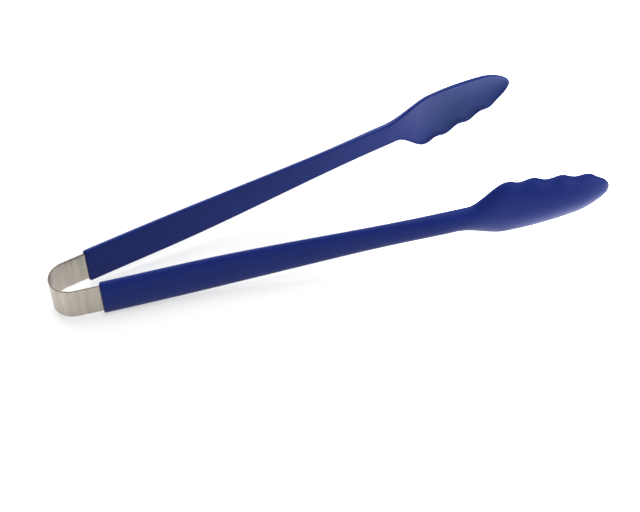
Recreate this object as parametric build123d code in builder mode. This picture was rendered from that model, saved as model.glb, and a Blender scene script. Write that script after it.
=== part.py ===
from build123d import *
from math import cos, pi, radians, sin, sqrt
import os

# Spring loaded kitchen tongs, lying on their side as they do on a table, held open by their own spring.
# Origin: centre of the U bend, halfway across the strip. +X runs from the bend to the heads,
# +Y to the far arm, +Z across the width of the strip. Millimetres and degrees.

# Spring strip
band_width = 17.8
band_thickness = 0.8
bend_radius = 11.2  # to the middle of the strip
half_opening = 8.3  # between each arm and the plane midway between the arms, at rest
leg_length = 12.7  # straight strip between the bend and the handle
tang_width = 11.0  # the strip's narrower end, inside the handle
tang_length = 38.0
tang_corner_radius = 2.0
tang_hole_radius = 2.5  # plastic fills these holes and locks the arm on
tang_hole_places = (12.0, 27.0)  # from the handle's end

# Arms: places are measured along the arm from the handle's end
arm_length = 282.0
tip_flat = 0.25  # the loft stops this far short of the ideal tip
strip_depth = 1.5  # from the handle's inner face to the middle of the strip
end_radius = 1.2  # round the handle's end
taper_start = 40.0  # the handle keeps its width up to here
bow_place = 75.0  # the inner face bows in most here
middle = 134.0  # the arm is thinnest here
neck_start = 179.0  # the arm is narrowest here
head_start = 199.0  # the back begins to swell
bowl = 241.0  # the head is deepest here
tip_start = 260.5  # the rounded tip begins here
hollow_start = 199.0
hollow_full = 226.0

# Half widths. One edge of the head is scalloped and the other is plain, and both taper from their
# shoulder; the tip half widths carry these tapers on to the tip
handle_half_width = 10.7
neck_half_width = 7.2
wavy_flare = (198.0, 219.8)  # the neck widens into the scalloped edge between these places
wavy_half_width = 19.2
wavy_tip_half_width = 11.0
plain_flare = (190.0, 221.5)  # and into the plain edge between these
plain_half_width = 16.2
plain_tip_half_width = 8.8

# Depths, from the inner face to the middle of the back
handle_depth = 4.8
middle_depth = 4.2
neck_depth = 6.4
bowl_depth = 9.3
tip_depth = 6.6
handle_bow = 0.6  # of the inner face, towards the other arm
tip_bend = 0.4  # of the tip, away from the other arm

# Shape of the cross-section: the fullness says how far the back's curves pull into their corners,
# where 0.55 makes an ellipse and 1 is nearly square
handle_fullness = 0.62
head_fullness = 0.44
fullness_change = (182.0, 213.0)
handle_edge_radius = 1.1  # between the inner face and the sides
head_edge_radius = 0.75

# Scallops and wall of the head
scallop_count = 4
first_crest = 218.0
scallop_pitch = 16.9
scallop_height = 1.0  # of a crest above the mean outline, and of a valley below it
scallop_delay = 1.0  # the scallops fade in this far beyond the first crest, and out beyond the last
wall = 1.5
cutter_margin = 0.6  # the hollow's cutter stands this far out of the inner face


def ease(s, start, end):
    """0 before start, 1 after end, and a smooth rise between them."""
    t = min(max((s - start) / (end - start), 0), 1)
    return t * t * (3 - 2 * t)


def between(first, second, share):
    """The value that lies this share of the way from first to second."""
    return first + (second - first) * share


def rounded_end(s, start, end):
    """1 before start, falling as a quarter ellipse to 0 at end."""
    t = min(max((s - start) / (end - start), 0), 1)
    return sqrt(1 - t * t)


def handle_line(s):
    """Half width of the handle and the neck."""
    return between(handle_half_width, neck_half_width, ease(s, taper_start, neck_start))


def wavy_side(s):
    """Half width on the scalloped side, without the scallops and the rounded tip."""
    shoulder = wavy_flare[1]
    taper = max(s - shoulder, 0) / (arm_length - shoulder)
    head = between(wavy_half_width, wavy_tip_half_width, taper)
    return between(handle_line(s), head, ease(s, *wavy_flare))


def plain_side(s):
    """Half width on the plain side, without the rounded tip."""
    shoulder = plain_flare[1]
    taper = max(s - shoulder, 0) / (arm_length - shoulder)
    head = between(plain_half_width, plain_tip_half_width, taper**2)
    return between(handle_line(s), head, ease(s, *plain_flare))


def back_line(s):
    """Depth of the arm without its rounded tip."""
    depth = between(handle_depth, middle_depth, ease(s, 0, middle))
    depth += (neck_depth - middle_depth) * ease(s, middle, wavy_flare[0])
    depth += (bowl_depth - neck_depth) * ease(s, head_start, bowl)
    return depth + (tip_depth - bowl_depth) * ease(s, bowl, arm_length)


def inner_line(s):
    """How far the inner face stands outward of a straight arm's."""
    bow = ease(s, 0, bow_place) - ease(s, bow_place, neck_start)
    return tip_bend * ease(s, bowl, arm_length) - handle_bow * bow


def scallop(s):
    """How far the wavy rim stands out from the mean outline."""
    last_crest = first_crest + (scallop_count - 1) * scallop_pitch
    fade = ease(s, first_crest + scallop_delay, first_crest + scallop_pitch / 2)
    fade *= 1 - ease(s, last_crest + scallop_delay, last_crest + scallop_pitch / 2 + scallop_delay)
    return fade * scallop_height * cos(2 * pi * (s - first_crest) / scallop_pitch)


# Directions of the near arm, and its places
along = Vector(cos(radians(half_opening)), -sin(radians(half_opening)), 0)
outward = Vector(-sin(radians(half_opening)), -cos(radians(half_opening)), 0)
tangent_point = outward * bend_radius
entry = tangent_point + along * leg_length
tang_end = entry + along * tang_length
arm_origin = entry - outward * strip_depth
crown = Vector(-bend_radius, 0, 0)


def across(point):
    """The same point on the far side."""
    return Vector(point.X, -point.Y, point.Z)


def cross_section(s):
    """Plane across the near arm, with its origin on the inner face."""
    origin = arm_origin + along * s + outward * inner_line(s)
    return Plane(origin=origin, x_dir=(0, 0, 1), z_dir=along)


# Spring strip: one bent ribbon, full width up to the handles and narrower inside them
with BuildPart() as spring_band:
    with BuildSketch(Plane.XY):
        with BuildLine():
            Line(across(tang_end), across(tangent_point))
            ThreePointArc(across(tangent_point), crown, tangent_point)
            Line(tangent_point, tang_end)
        trace(line_width=band_thickness)
    extrude(amount=band_width / 2, both=True)
    near_tang = Plane(origin=entry, x_dir=along, z_dir=outward)
    far_tang = Plane(origin=across(entry), x_dir=across(along), z_dir=across(outward))
    for tang_plane in (near_tang, far_tang):
        with BuildSketch(tang_plane):
            with Locations((tang_length / 2, 0)):
                Rectangle(tang_length, band_width)
            with Locations(((tang_length - tang_corner_radius) / 2, 0)):
                RectangleRounded(
                    tang_length + tang_corner_radius, tang_width, tang_corner_radius, mode=Mode.SUBTRACT
                )
            with Locations([(place, 0) for place in tang_hole_places]):
                Circle(tang_hole_radius)
        extrude(amount=band_thickness, both=True, mode=Mode.SUBTRACT)

# Places of the cross-sections: wide apart on the handle, close at the shoulder, a quarter pitch apart
# on the scalloped head, and closer and closer round the tip
end_sections = [end_radius * (1 - cos(radians(angle))) for angle in (0, 30, 60, 90)]
handle_sections = [2, 4, 8, 15, *[26 + 13 * i for i in range(13)]]
shoulder_sections = [189, 194, 198, 202, 205.5, 209, 213]
head_sections = [first_crest + scallop_pitch / 4 * i for i in range(13)]
turns = [radians(angle) for angle in (35, 48, 60, 71, 81)]
tip_sections = [tip_start + (arm_length - tip_start) * sin(turn) for turn in turns]
tip_sections.append(arm_length - tip_flat)

# The near arm has its scalloped edge on top
with BuildPart() as near_arm:
    for s in end_sections + handle_sections + shoulder_sections + head_sections + tip_sections:
        tip = rounded_end(s, tip_start, arm_length)
        inset = end_radius * (1 - rounded_end(-s, -end_radius, 0))
        upper = wavy_side(s) * tip - inset
        rim = upper + scallop(s) * tip
        lower = plain_side(s) * tip - inset
        d = back_line(s) * tip - inset
        r = min(between(handle_edge_radius, head_edge_radius, ease(s, *wavy_flare)), d / 3)
        corner = r * (1 - sqrt(0.5))
        pull = between(handle_fullness, head_fullness, ease(s, *fullness_change))
        side_pull = between(inset + r, d, pull)
        with BuildSketch(cross_section(s)):
            with BuildLine():
                Line((r - lower, inset), (rim - r, inset))
                ThreePointArc((rim - r, inset), (rim - corner, inset + corner), (rim, inset + r))
                Bezier((rim, inset + r), (upper, side_pull), (upper * pull, d), (0, d))
                Bezier((0, d), (-lower * pull, d), (-lower, side_pull), (-lower, inset + r))
                ThreePointArc((-lower, inset + r), (corner - lower, inset + corner), (r - lower, inset))
            make_face()
    loft()

    hollow_end = arm_length - wall
    hollow_turns = [radians(angle) for angle in (38, 50, 61, 71, 80, 87)]
    hollow_sections = [hollow_start + 0.15, 202, 205.5, 209, 213, *head_sections]
    hollow_sections += [tip_start + (hollow_end - tip_start) * sin(turn) for turn in hollow_turns]
    for s in hollow_sections:
        opening = rounded_end(s, tip_start, hollow_end) * rounded_end(-s, -hollow_full, -hollow_start)
        upper = (wavy_side(s) - wall) * opening
        rim = upper + scallop(s) * opening
        lower = (plain_side(s) - wall) * opening
        d = (back_line(s) - wall) * rounded_end(s, tip_start, hollow_end)
        d *= ease(s, hollow_start - 2, hollow_full)
        side_pull = d * head_fullness
        with BuildSketch(cross_section(s)):
            with BuildLine():
                Line((-lower, -cutter_margin), (rim, -cutter_margin))
                Bezier((rim, -cutter_margin), (upper, side_pull), (upper * head_fullness, d), (0, d))
                Bezier((0, d), (-lower * head_fullness, d), (-lower, side_pull), (-lower, -cutter_margin))
            make_face()
    loft(mode=Mode.SUBTRACT)
    add(spring_band.part, mode=Mode.SUBTRACT)

# The far arm is the same moulding turned over, so its scalloped edge is below
with BuildPart() as far_arm:
    add(near_arm.part, rotation=(180, 0, 0))

os.makedirs("parts", exist_ok=True)
for piece, name in ((spring_band, "spring_band"), (near_arm, "near_arm"), (far_arm, "far_arm")):
    piece.part.label = name
    export_step(piece.part, f"parts/{name}.step")
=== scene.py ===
from math import cos, pi, radians, sin, sqrt

import bpy
from mathutils import Matrix, Vector


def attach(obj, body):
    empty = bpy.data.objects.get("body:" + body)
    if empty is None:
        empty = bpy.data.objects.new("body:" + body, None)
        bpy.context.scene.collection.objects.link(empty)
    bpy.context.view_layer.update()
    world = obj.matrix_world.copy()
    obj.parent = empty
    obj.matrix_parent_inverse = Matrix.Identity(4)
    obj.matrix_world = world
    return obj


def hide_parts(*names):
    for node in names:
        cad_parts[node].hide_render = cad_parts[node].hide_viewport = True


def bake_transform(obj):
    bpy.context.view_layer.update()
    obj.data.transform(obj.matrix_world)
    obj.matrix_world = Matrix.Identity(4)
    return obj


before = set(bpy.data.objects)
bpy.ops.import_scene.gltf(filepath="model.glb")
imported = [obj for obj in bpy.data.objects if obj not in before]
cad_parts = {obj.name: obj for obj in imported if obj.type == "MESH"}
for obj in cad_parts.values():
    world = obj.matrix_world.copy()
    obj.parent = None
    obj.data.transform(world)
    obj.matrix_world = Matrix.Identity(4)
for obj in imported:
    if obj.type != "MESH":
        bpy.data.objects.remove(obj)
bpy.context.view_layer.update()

# Camera, in degrees and metres
AZIMUTH = -23.91
ELEVATION = 44.554
ROLL = -1.322
DISTANCE = 0.64295
TARGET = Vector((0.12349, -0.03355, 0.0))
LENS = 69.217

# The object's sizes in mm, the same as the CAD's but for the hollow's longer run-in. Places are measured
# along an arm from its handle's end
BAND_WIDTH = 17.8
BAND_THICKNESS = 0.8
BEND_RADIUS = 11.2
HALF_OPENING = radians(8.3)
LEG_LENGTH = 12.7
BAND_IN_HANDLE = 2.0
BAND_EDGE_RADIUS = 0.22
ARM_LENGTH = 282.0
STRIP_DEPTH = 1.5
END_RADIUS = 1.2
TAPER_START = 40.0
BOW_PLACE = 75.0
MIDDLE = 134.0
NECK_START = 179.0
HEAD_START = 199.0
BOWL = 241.0
TIP_START = 260.5
WAVY_FLARE = (198.0, 219.8)
PLAIN_FLARE = (190.0, 221.5)
HANDLE_HALF_WIDTH = 10.7
NECK_HALF_WIDTH = 7.2
WAVY_HALF_WIDTHS = (19.2, 11.0)  # at the shoulder and carried on to the tip
PLAIN_HALF_WIDTHS = (16.2, 8.8)
HANDLE_DEPTH = 4.8
MIDDLE_DEPTH = 4.2
NECK_DEPTH = 6.4
BOWL_DEPTH = 9.3
TIP_DEPTH = 6.6
HANDLE_BOW = 0.6
TIP_BEND = 0.4
FULLNESS_CHANGE = (182.0, 213.0)
HANDLE_FULLNESS = 0.62
HEAD_FULLNESS = 0.44
HANDLE_EDGE_RADIUS = 1.1
HEAD_EDGE_RADIUS = 0.75
HOLLOW_EDGE_RADIUS = 0.35
INNER_POINTS = 18  # of half a cross-section: these lie on its inner side, up to the hollow's edge
FIRST_CREST = 218.0
SCALLOP_COUNT = 4
SCALLOP_PITCH = 16.9
SCALLOP_HEIGHT = 1.0
SCALLOP_DELAY = 1.0
WALL = 1.5
HOLLOW_RUN_IN = (191.0, 236.0)  # the hollow's floor slopes down between these places
RESTING_PLACES = (3.0, 222.5, 219.0)  # two places on the near arm and one on the far arm touch the floor

# Looks. Places and lengths here are in metres
DARK_EDGE_BAND = (0.00866, 0.00878)  # the strip's edge darkens between these distances from its middle
HOLLOW_SHEEN_PLACES = (0.208, 0.234)  # a painted sheen, a paler and greyer colour on the hollow's inner face, fades in between these places along the arm
GLOW_CENTRE = (0.33, -0.01, -0.02)
GLOW_RADIUS = 0.2
GLOW = 3.7  # of the floor at the glow's centre
FLOOR_LIGHT = 0.54  # of the floor beyond the glow
FLOOR_SIZE = 8
WORLD_LIGHT = 0.17


def ease(s, start, end):
    """0 before start, 1 after end, and a smooth rise between them."""
    t = min(max((s - start) / (end - start), 0), 1)
    return t * t * (3 - 2 * t)


def rounded_end(s, start, end):
    """1 before start, falling as a quarter ellipse to 0 at end."""
    t = min(max((s - start) / (end - start), 0), 1)
    return sqrt(1 - t * t)


def between(first, second, share):
    """The value that lies this share of the way from first to second."""
    return first + (second - first) * share


def handle_line(s):
    """Half width of the handle and the neck."""
    return between(HANDLE_HALF_WIDTH, NECK_HALF_WIDTH, ease(s, TAPER_START, NECK_START))


def wavy_side(s):
    """Half width on the scalloped side, without the scallops and the rounded tip."""
    taper = max(s - WAVY_FLARE[1], 0) / (ARM_LENGTH - WAVY_FLARE[1])
    return between(handle_line(s), between(*WAVY_HALF_WIDTHS, taper), ease(s, *WAVY_FLARE))


def plain_side(s):
    """Half width on the plain side, without the rounded tip."""
    taper = max(s - PLAIN_FLARE[1], 0) / (ARM_LENGTH - PLAIN_FLARE[1])
    return between(handle_line(s), between(*PLAIN_HALF_WIDTHS, taper**2), ease(s, *PLAIN_FLARE))


def back_line(s):
    """Depth of the arm, without its rounded tip."""
    depth = between(HANDLE_DEPTH, MIDDLE_DEPTH, ease(s, 0, MIDDLE))
    depth += (NECK_DEPTH - MIDDLE_DEPTH) * ease(s, MIDDLE, WAVY_FLARE[0])
    depth += (BOWL_DEPTH - NECK_DEPTH) * ease(s, HEAD_START, BOWL)
    return depth + (TIP_DEPTH - BOWL_DEPTH) * ease(s, BOWL, ARM_LENGTH)


def inner_line(s):
    """How far the inner face stands outward of a straight arm's."""
    bow = ease(s, 0, BOW_PLACE) - ease(s, BOW_PLACE, NECK_START)
    return TIP_BEND * ease(s, BOWL, ARM_LENGTH) - HANDLE_BOW * bow


def scallop(s):
    """How far the wavy rim stands out from the mean outline."""
    last_crest = FIRST_CREST + (SCALLOP_COUNT - 1) * SCALLOP_PITCH
    fade = ease(s, FIRST_CREST + SCALLOP_DELAY, FIRST_CREST + SCALLOP_PITCH / 2)
    fade *= 1 - ease(s, last_crest + SCALLOP_DELAY, last_crest + SCALLOP_PITCH / 2 + SCALLOP_DELAY)
    return fade * SCALLOP_HEIGHT * cos(2 * pi * (s - FIRST_CREST) / SCALLOP_PITCH)


def bezier(a, b, c, d, steps):
    """Points of a cubic curve from a, which is left out, to d."""
    points = []
    for i in range(1, steps + 1):
        t = i / steps
        u = 1 - t
        weights = (u**3, 3 * u * u * t, 3 * u * t * t, t**3)
        points.append(tuple(sum(w * p[k] for w, p in zip(weights, (a, b, c, d))) for k in (0, 1)))
    return points


def half_profile(s, side_line, wave):
    """One side of the arm's cross-section, from the middle of the inner face round to the middle of the back.
    Each point is (half width, depth)."""
    tip = rounded_end(s, TIP_START, ARM_LENGTH)
    inset = END_RADIUS * (1 - rounded_end(-s, -END_RADIUS, 0))
    w = side_line(s) * tip - inset
    d = back_line(s) * tip - inset
    rim = w + wave * tip
    r = min(between(HANDLE_EDGE_RADIUS, HEAD_EDGE_RADIUS, ease(s, *WAVY_FLARE)), d / 3)
    pull = between(HANDLE_FULLNESS, HEAD_FULLNESS, ease(s, *FULLNESS_CHANGE))

    hollow_tip = rounded_end(s, TIP_START, ARM_LENGTH - WALL)
    wall = min(WALL, rim * 0.45)
    edge = max(rim - wall, 0)
    side = max(w - wall, 0)
    deep = max(back_line(s) - WALL, 0) * hollow_tip * ease(s, *HOLLOW_RUN_IN)
    edge_r = min(HOLLOW_EDGE_RADIUS, wall / 4)
    edge_d = min(edge_r, deep / 2)
    points = [(0, deep)]
    floor_pull = (side * HEAD_FULLNESS, deep)
    wall_pull = (side, deep * HEAD_FULLNESS)
    points += bezier((0, deep), floor_pull, wall_pull, (edge, edge_d), 14)
    for turn in (30, 60, 90):
        a = radians(turn)
        points.append((edge + edge_r * (1 - cos(a)), edge_d * (1 - sin(a))))
    points.append(((edge + edge_r + rim - r) / 2, 0))
    for turn in (0, 22.5, 45, 67.5, 90):
        a = radians(turn)
        points.append((rim - r + r * sin(a), r - r * cos(a)))
    points = [(x, y + inset) for x, y in points]
    side_pull = between(inset + r, d, pull)
    return points + bezier((rim, inset + r), (w, side_pull), (w * pull, d), (0, d), 18)


def stations():
    """Places of the rings along the arm: close together on its rounded ends and on the head."""
    places = [END_RADIUS * (1 - cos(radians(angle))) for angle in (0, 15, 30, 45, 60, 75, 90)]
    places += [2 + 4 * i for i in range(47)]
    places += [189 + 1.2 * i for i in range(60)]
    turns = [radians(4 * i) for i in range(1, 22)]
    start = places[-1]
    places += [start + (ARM_LENGTH - start) * sin(turn) for turn in turns]
    return [s for s in places if s < ARM_LENGTH - 0.03]


def arm_frame(side):
    """The handle end of an arm's inner face, and the directions along and out of the arm.
    side is -1 for the near arm and 1 for the far one."""
    along = Vector((cos(HALF_OPENING), side * sin(HALF_OPENING), 0))
    outward = Vector((-sin(HALF_OPENING), side * cos(HALF_OPENING), 0))
    return outward * (BEND_RADIUS - STRIP_DEPTH) + along * LEG_LENGTH, along, outward


def new_mesh(name, vertices, faces):
    """A smooth mesh from vertices in mm."""
    mesh = bpy.data.meshes.new(name)
    mesh.from_pydata([tuple(v / 1000) for v in vertices], [], faces)
    mesh.validate()
    mesh.polygons.foreach_set("use_smooth", [True] * len(mesh.polygons))
    obj = bpy.data.objects.new(name, mesh)
    bpy.context.scene.collection.objects.link(obj)
    return obj


def lay_uvs(obj, name, uvs):
    """A UV layer from one pair for each vertex."""
    layer = obj.data.uv_layers.new(name=name)
    for loop in obj.data.loops:
        layer.data[loop.index].uv = uvs[loop.vertex_index]


def make_arm(name, side):
    """Both arms are one moulding: the near one has its scalloped edge above and the far one below.
    Its UVs hold the place along the arm, in metres, and 1 on its inner side or 0 elsewhere."""
    origin, along, outward = arm_frame(side)
    vertices, uvs = [], []
    for s in stations():
        wavy = half_profile(s, wavy_side, scallop(s))
        plain = half_profile(s, plain_side, 0)
        ring = wavy + [(-x, y) for x, y in reversed(plain[1:-1])]
        base = origin + along * s + outward * inner_line(s)
        vertices += [base + outward * y + Vector((0, 0, -x * side)) for x, y in ring]
        inner = [k < INNER_POINTS for k in range(len(wavy))]
        inner += reversed(inner[1:-1])
        uvs += [(s / 1000, float(inside)) for inside in inner]
        count = len(ring)
    rings = len(vertices) // count
    faces = [tuple(reversed(range(count)))]
    for i in range(rings - 1):
        for k in range(count):
            n = (k + 1) % count
            faces.append((i * count + k, i * count + n, (i + 1) * count + n, (i + 1) * count + k))
    faces.append(tuple((rings - 1) * count + k for k in range(count)))
    obj = new_mesh(name, vertices, faces)
    lay_uvs(obj, "skin", uvs)
    return obj


def make_band(name, side):
    """Half of the strip, from the crown of the bend to just inside one handle. Its UVs hold the place
    along the strip and the height on it, in metres."""
    turn = pi / 2 - HALF_OPENING
    arc = BEND_RADIUS * turn
    total = arc + LEG_LENGTH + BAND_IN_HANDLE
    places = [arc * i / 70 for i in range(71)]
    places += [arc + (total - arc) * i / 20 for i in range(1, 21)]
    corners = []
    half_t = BAND_THICKNESS / 2 - BAND_EDGE_RADIUS
    half_w = BAND_WIDTH / 2 - BAND_EDGE_RADIUS
    for x, z, start in ((1, 1, 0), (-1, 1, 90), (-1, -1, 180), (1, -1, 270)):
        for step in range(5):
            a = radians(start + 22.5 * step)
            corners.append((x * half_t + BAND_EDGE_RADIUS * cos(a), z * half_w + BAND_EDGE_RADIUS * sin(a)))
    section = []
    for k, corner in enumerate(corners):
        section.append(corner)
        if k % 10 == 9:
            after = corners[(k + 1) % len(corners)]
            section += [(corner[0], corner[1] + (after[1] - corner[1]) * i / 12) for i in range(1, 12)]
    vertices, uvs = [], []
    for s in places:
        angle = min(s / BEND_RADIUS, turn)
        out = Vector((-cos(angle), side * sin(angle), 0))
        ahead = Vector((sin(angle), side * cos(angle), 0))
        base = out * BEND_RADIUS + ahead * max(s - arc, 0)
        for t, z in section:
            vertices.append(base + out * t + Vector((0, 0, z)))
            uvs.append((s * side / 1000, z / 1000))
    count = len(section)
    faces = []
    for i in range(len(places) - 1):
        for k in range(count):
            n = (k + 1) % count
            quad = (i * count + k, i * count + n, (i + 1) * count + n, (i + 1) * count + k)
            faces.append(quad if side > 0 else quad[::-1])
    last = (len(places) - 1) * count
    cap = tuple(last + k for k in range(count))
    faces.append(cap if side > 0 else cap[::-1])
    obj = new_mesh(name, vertices, faces)
    lay_uvs(obj, "strip", uvs)
    return obj


def nodes_of(name):
    material = bpy.data.materials.new(name)
    material.use_nodes = True
    tree = material.node_tree
    shader = tree.nodes["Principled BSDF"]
    return material, tree, shader


def noise(tree, source, scale, detail=2.0, distortion=0.0):
    node = tree.nodes.new("ShaderNodeTexNoise")
    node.inputs["Scale"].default_value = scale
    node.inputs["Detail"].default_value = detail
    node.inputs["Distortion"].default_value = distortion
    tree.links.new(source, node.inputs["Vector"])
    return node.outputs["Fac"]


def stretched(tree, source, scale):
    node = tree.nodes.new("ShaderNodeMapping")
    node.inputs["Scale"].default_value = scale
    tree.links.new(source, node.inputs["Vector"])
    return node.outputs["Vector"]


def spread(tree, source, low, high, start=0.0, end=1.0):
    """The value carried from the range start..end to low..high."""
    node = tree.nodes.new("ShaderNodeMapRange")
    node.inputs["From Min"].default_value = start
    node.inputs["From Max"].default_value = end
    node.inputs["To Min"].default_value = low
    node.inputs["To Max"].default_value = high
    tree.links.new(source, node.inputs["Value"])
    return node.outputs["Result"]


def mix_colour(tree, factor, first, second):
    node = tree.nodes.new("ShaderNodeMix")
    node.data_type = "RGBA"
    tree.links.new(factor, node.inputs["Factor"])
    for socket, value in ((node.inputs[6], first), (node.inputs[7], second)):
        if isinstance(value, tuple):
            socket.default_value = (*value, 1)
        else:
            tree.links.new(value, socket)
    return node.outputs[2]


def add_bump(tree, shader, height, strength, distance, before=None):
    node = tree.nodes.new("ShaderNodeBump")
    node.inputs["Strength"].default_value = strength
    node.inputs["Distance"].default_value = distance
    tree.links.new(height, node.inputs["Height"])
    if before is not None:
        tree.links.new(before, node.inputs["Normal"])
    tree.links.new(node.outputs["Normal"], shader.inputs["Normal"])
    return node.outputs["Normal"]


def make_nylon():
    """Satin moulded nylon: fine grain, faint flow clouds, light scuffs along the arm, and a painted sheen
    that makes the inner face of the hollow paler.
    """
    material, tree, shader = nodes_of("blue_nylon")
    place = tree.nodes.new("ShaderNodeTexCoord").outputs["Object"]
    clouds = noise(tree, stretched(tree, place, (25, 90, 90)), 1.0, 3.0)
    flow = spread(tree, clouds, 0, 1, 0.3, 0.7)
    colour = mix_colour(tree, flow, (0.006, 0.0165, 0.123), (0.007, 0.019, 0.141))
    skin = tree.nodes.new("ShaderNodeUVMap")
    skin.uv_map = "skin"
    split = tree.nodes.new("ShaderNodeSeparateXYZ")
    tree.links.new(skin.outputs["UV"], split.inputs["Vector"])
    # Painted sheen: from these places to the tip the inner face is given a paler, greyer colour that stands
    # in for light on the hollow
    painted_sheen = tree.nodes.new("ShaderNodeMath")
    painted_sheen.operation = "MULTIPLY"
    tree.links.new(spread(tree, split.outputs["X"], 0, 1, *HOLLOW_SHEEN_PLACES), painted_sheen.inputs[0])
    tree.links.new(split.outputs["Y"], painted_sheen.inputs[1])
    colour = mix_colour(tree, painted_sheen.outputs["Value"], colour, (0.018, 0.033, 0.126))
    scuffs = noise(tree, stretched(tree, place, (60, 900, 900)), 1.0, 4.0)
    worn = spread(tree, scuffs, 0, 0.22, 0.6, 0.85)
    colour = mix_colour(tree, worn, colour, (0.03, 0.045, 0.17))
    tree.links.new(colour, shader.inputs["Base Color"])
    patches = noise(tree, place, 160, 3.0)
    tree.links.new(spread(tree, patches, 0.34, 0.44, 0.3, 0.7), shader.inputs["Roughness"])
    shader.inputs["Specular IOR Level"].default_value = 0.06
    shader.inputs["Sheen Weight"].default_value = 0.07
    shader.inputs["Sheen Roughness"].default_value = 0.5
    grain = noise(tree, place, 2600, 2.0)
    normal = add_bump(tree, shader, grain, 0.12, 0.0001)
    add_bump(tree, shader, patches, 0.15, 0.0002, normal)
    return material


def make_steel():
    """Stainless strip brushed across its length, with its rounded edges painted darker."""
    material, tree, shader = nodes_of("spring_steel")
    place = tree.nodes.new("ShaderNodeUVMap")
    place.uv_map = "strip"
    place = place.outputs["UV"]
    lines = noise(tree, stretched(tree, place, (5000, 90, 1)), 1.0, 3.0)
    bands = noise(tree, stretched(tree, place, (250, 12, 1)), 1.0, 2.0)
    tone = spread(tree, bands, 0, 1, 0.32, 0.68)
    colour = mix_colour(tree, tone, (0.405, 0.37, 0.32), (0.535, 0.49, 0.43))
    colour = mix_colour(tree, spread(tree, lines, 0, 0.55, 0.4, 0.75), colour, (0.31, 0.28, 0.24))
    height = tree.nodes.new("ShaderNodeSeparateXYZ")
    tree.links.new(place, height.inputs["Vector"])
    off_middle = tree.nodes.new("ShaderNodeMath")
    off_middle.operation = "ABSOLUTE"
    tree.links.new(height.outputs["Y"], off_middle.inputs[0])
    # The strip's rounded edges are painted a darker colour
    darker_edge = spread(tree, off_middle.outputs["Value"], 0, 1, *DARK_EDGE_BAND)
    colour = mix_colour(tree, darker_edge, colour, (0.1, 0.09, 0.075))
    tree.links.new(colour, shader.inputs["Base Color"])
    shader.inputs["Metallic"].default_value = 1
    tree.links.new(spread(tree, lines, 0.26, 0.4, 0.3, 0.7), shader.inputs["Roughness"])
    add_bump(tree, shader, lines, 0.12, 0.00005)
    return material


nylon = make_nylon()
steel = make_steel()
for name, side in (("near", -1), ("far", 1)):
    arm = make_arm(f"{name}_arm_moulding", side)
    arm.data.materials.append(nylon)
    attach(arm, f"{name}_arm")
    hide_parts(f"{name}_arm")
    band = make_band(f"{name}_half_of_spring", side)
    band.data.materials.append(steel)
    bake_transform(band)
    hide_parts("spring_band")


def make_camera():
    """The camera, turned by ROLL round its own line of sight."""
    azimuth, elevation, roll = radians(AZIMUTH), radians(ELEVATION), radians(ROLL)
    back = Vector((sin(azimuth) * cos(elevation), -cos(azimuth) * cos(elevation), sin(elevation)))
    level = (-back).cross(Vector((0, 0, 1))).normalized()
    upright = level.cross(-back)
    right = cos(roll) * level + sin(roll) * upright
    up = cos(roll) * upright - sin(roll) * level
    data = bpy.data.cameras.new("camera")
    data.lens = LENS
    data.sensor_width = 36
    data.clip_start = 0.01
    camera = bpy.data.objects.new("camera", data)
    place = TARGET + back * DISTANCE
    camera.matrix_world = Matrix((
        (right.x, up.x, back.x, place.x),
        (right.y, up.y, back.y, place.y),
        (right.z, up.z, back.z, place.z),
        (0, 0, 0, 1)))
    bpy.context.scene.collection.objects.link(camera)
    bpy.context.scene.camera = camera


def make_softbox(name, place, aim, width, height, power):
    """A large rectangular light at one place, facing another."""
    data = bpy.data.lights.new(name, "AREA")
    data.shape = "RECTANGLE"
    data.size = width
    data.size_y = height
    data.energy = power
    light = bpy.data.objects.new(name, data)
    light.location = place
    light.rotation_euler = (Vector(aim) - Vector(place)).to_track_quat("-Z", "Y").to_euler()
    bpy.context.scene.collection.objects.link(light)


def resting_plane():
    """The plane the tongs lie on, as its height at the origin and its slopes along x and y. It touches
    the near handle's end, the near head's plain shoulder and the far head's first crest."""
    near_end, near_shoulder, far_crest = RESTING_PLACES
    crest_half_width = wavy_side(far_crest) + scallop(far_crest)
    contacts = (
        (-1, near_end, handle_line(near_end)),
        (-1, near_shoulder, plain_side(near_shoulder)),
        (1, far_crest, crest_half_width),
    )
    points = []
    for side, s, half_width in contacts:
        origin, along, outward = arm_frame(side)
        edge = origin + along * s + outward * (inner_line(s) + HANDLE_EDGE_RADIUS)
        points.append((edge - Vector((0, 0, half_width))) / 1000)
    normal = (points[1] - points[0]).cross(points[2] - points[0])
    slope_x = -normal.x / normal.z
    slope_y = -normal.y / normal.z
    return points[0].z - slope_x * points[0].x - slope_y * points[0].y - 0.0001, slope_x, slope_y


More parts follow.
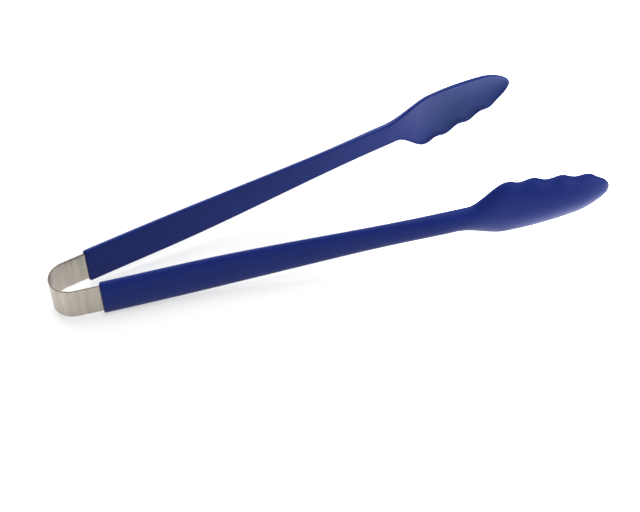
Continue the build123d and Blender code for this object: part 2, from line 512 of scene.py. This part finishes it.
def make_floor():
    """A pale light table under the tongs, brightest beside the heads. It is as steep as the tongs lie."""
    height, slope_x, slope_y = resting_plane()
    corners = [(x * FLOOR_SIZE, y * FLOOR_SIZE) for x, y in ((-1, -1), (1, -1), (1, 1), (-1, 1))]
    mesh = bpy.data.meshes.new("floor")
    mesh.from_pydata([(x, y, height + slope_x * x + slope_y * y) for x, y in corners], [], [(0, 1, 2, 3)])
    floor = bpy.data.objects.new("floor", mesh)
    bpy.context.scene.collection.objects.link(floor)
    material, tree, shader = nodes_of("paper")
    place = tree.nodes.new("ShaderNodeTexCoord").outputs["Object"]
    colour = mix_colour(tree, noise(tree, place, 9, 3.0), (0.38, 0.38, 0.38), (0.42, 0.42, 0.42))
    tree.links.new(colour, shader.inputs["Base Color"])
    shader.inputs["Roughness"].default_value = 0.9
    shader.inputs["Specular IOR Level"].default_value = 0.1
    shader.inputs["Emission Color"].default_value = (1, 1, 1, 1)
    middle = tree.nodes.new("ShaderNodeVectorMath")
    middle.operation = "DISTANCE"
    middle.inputs[1].default_value = GLOW_CENTRE
    tree.links.new(place, middle.inputs[0])
    glow = spread(tree, middle.outputs["Value"], GLOW, FLOOR_LIGHT, 0, GLOW_RADIUS)
    glow.node.interpolation_type = "SMOOTHSTEP"
    tree.links.new(glow, shader.inputs["Emission Strength"])
    floor.data.materials.append(material)


def make_world(strength):
    world = bpy.data.worlds.new("studio")
    bpy.context.scene.world = world
    world.use_nodes = True
    background = world.node_tree.nodes["Background"]
    background.inputs["Color"].default_value = (1, 1, 1, 1)
    background.inputs["Strength"].default_value = strength


make_camera()
make_floor()
make_world(WORLD_LIGHT)
make_softbox("overhead", (0.28, 0.02, 1.0), (0.12, 0, 0), 1.2, 1.0, 13)
make_softbox("behind", (0.15, 1.3, 0.7), (0.15, 0, 0), 1.4, 0.6, 28)
make_softbox("front", (1.0, -0.75, 0.4), (0.25, 0, 0), 0.7, 0.7, 6.5)
bpy.context.scene.view_settings.view_transform = "Standard"
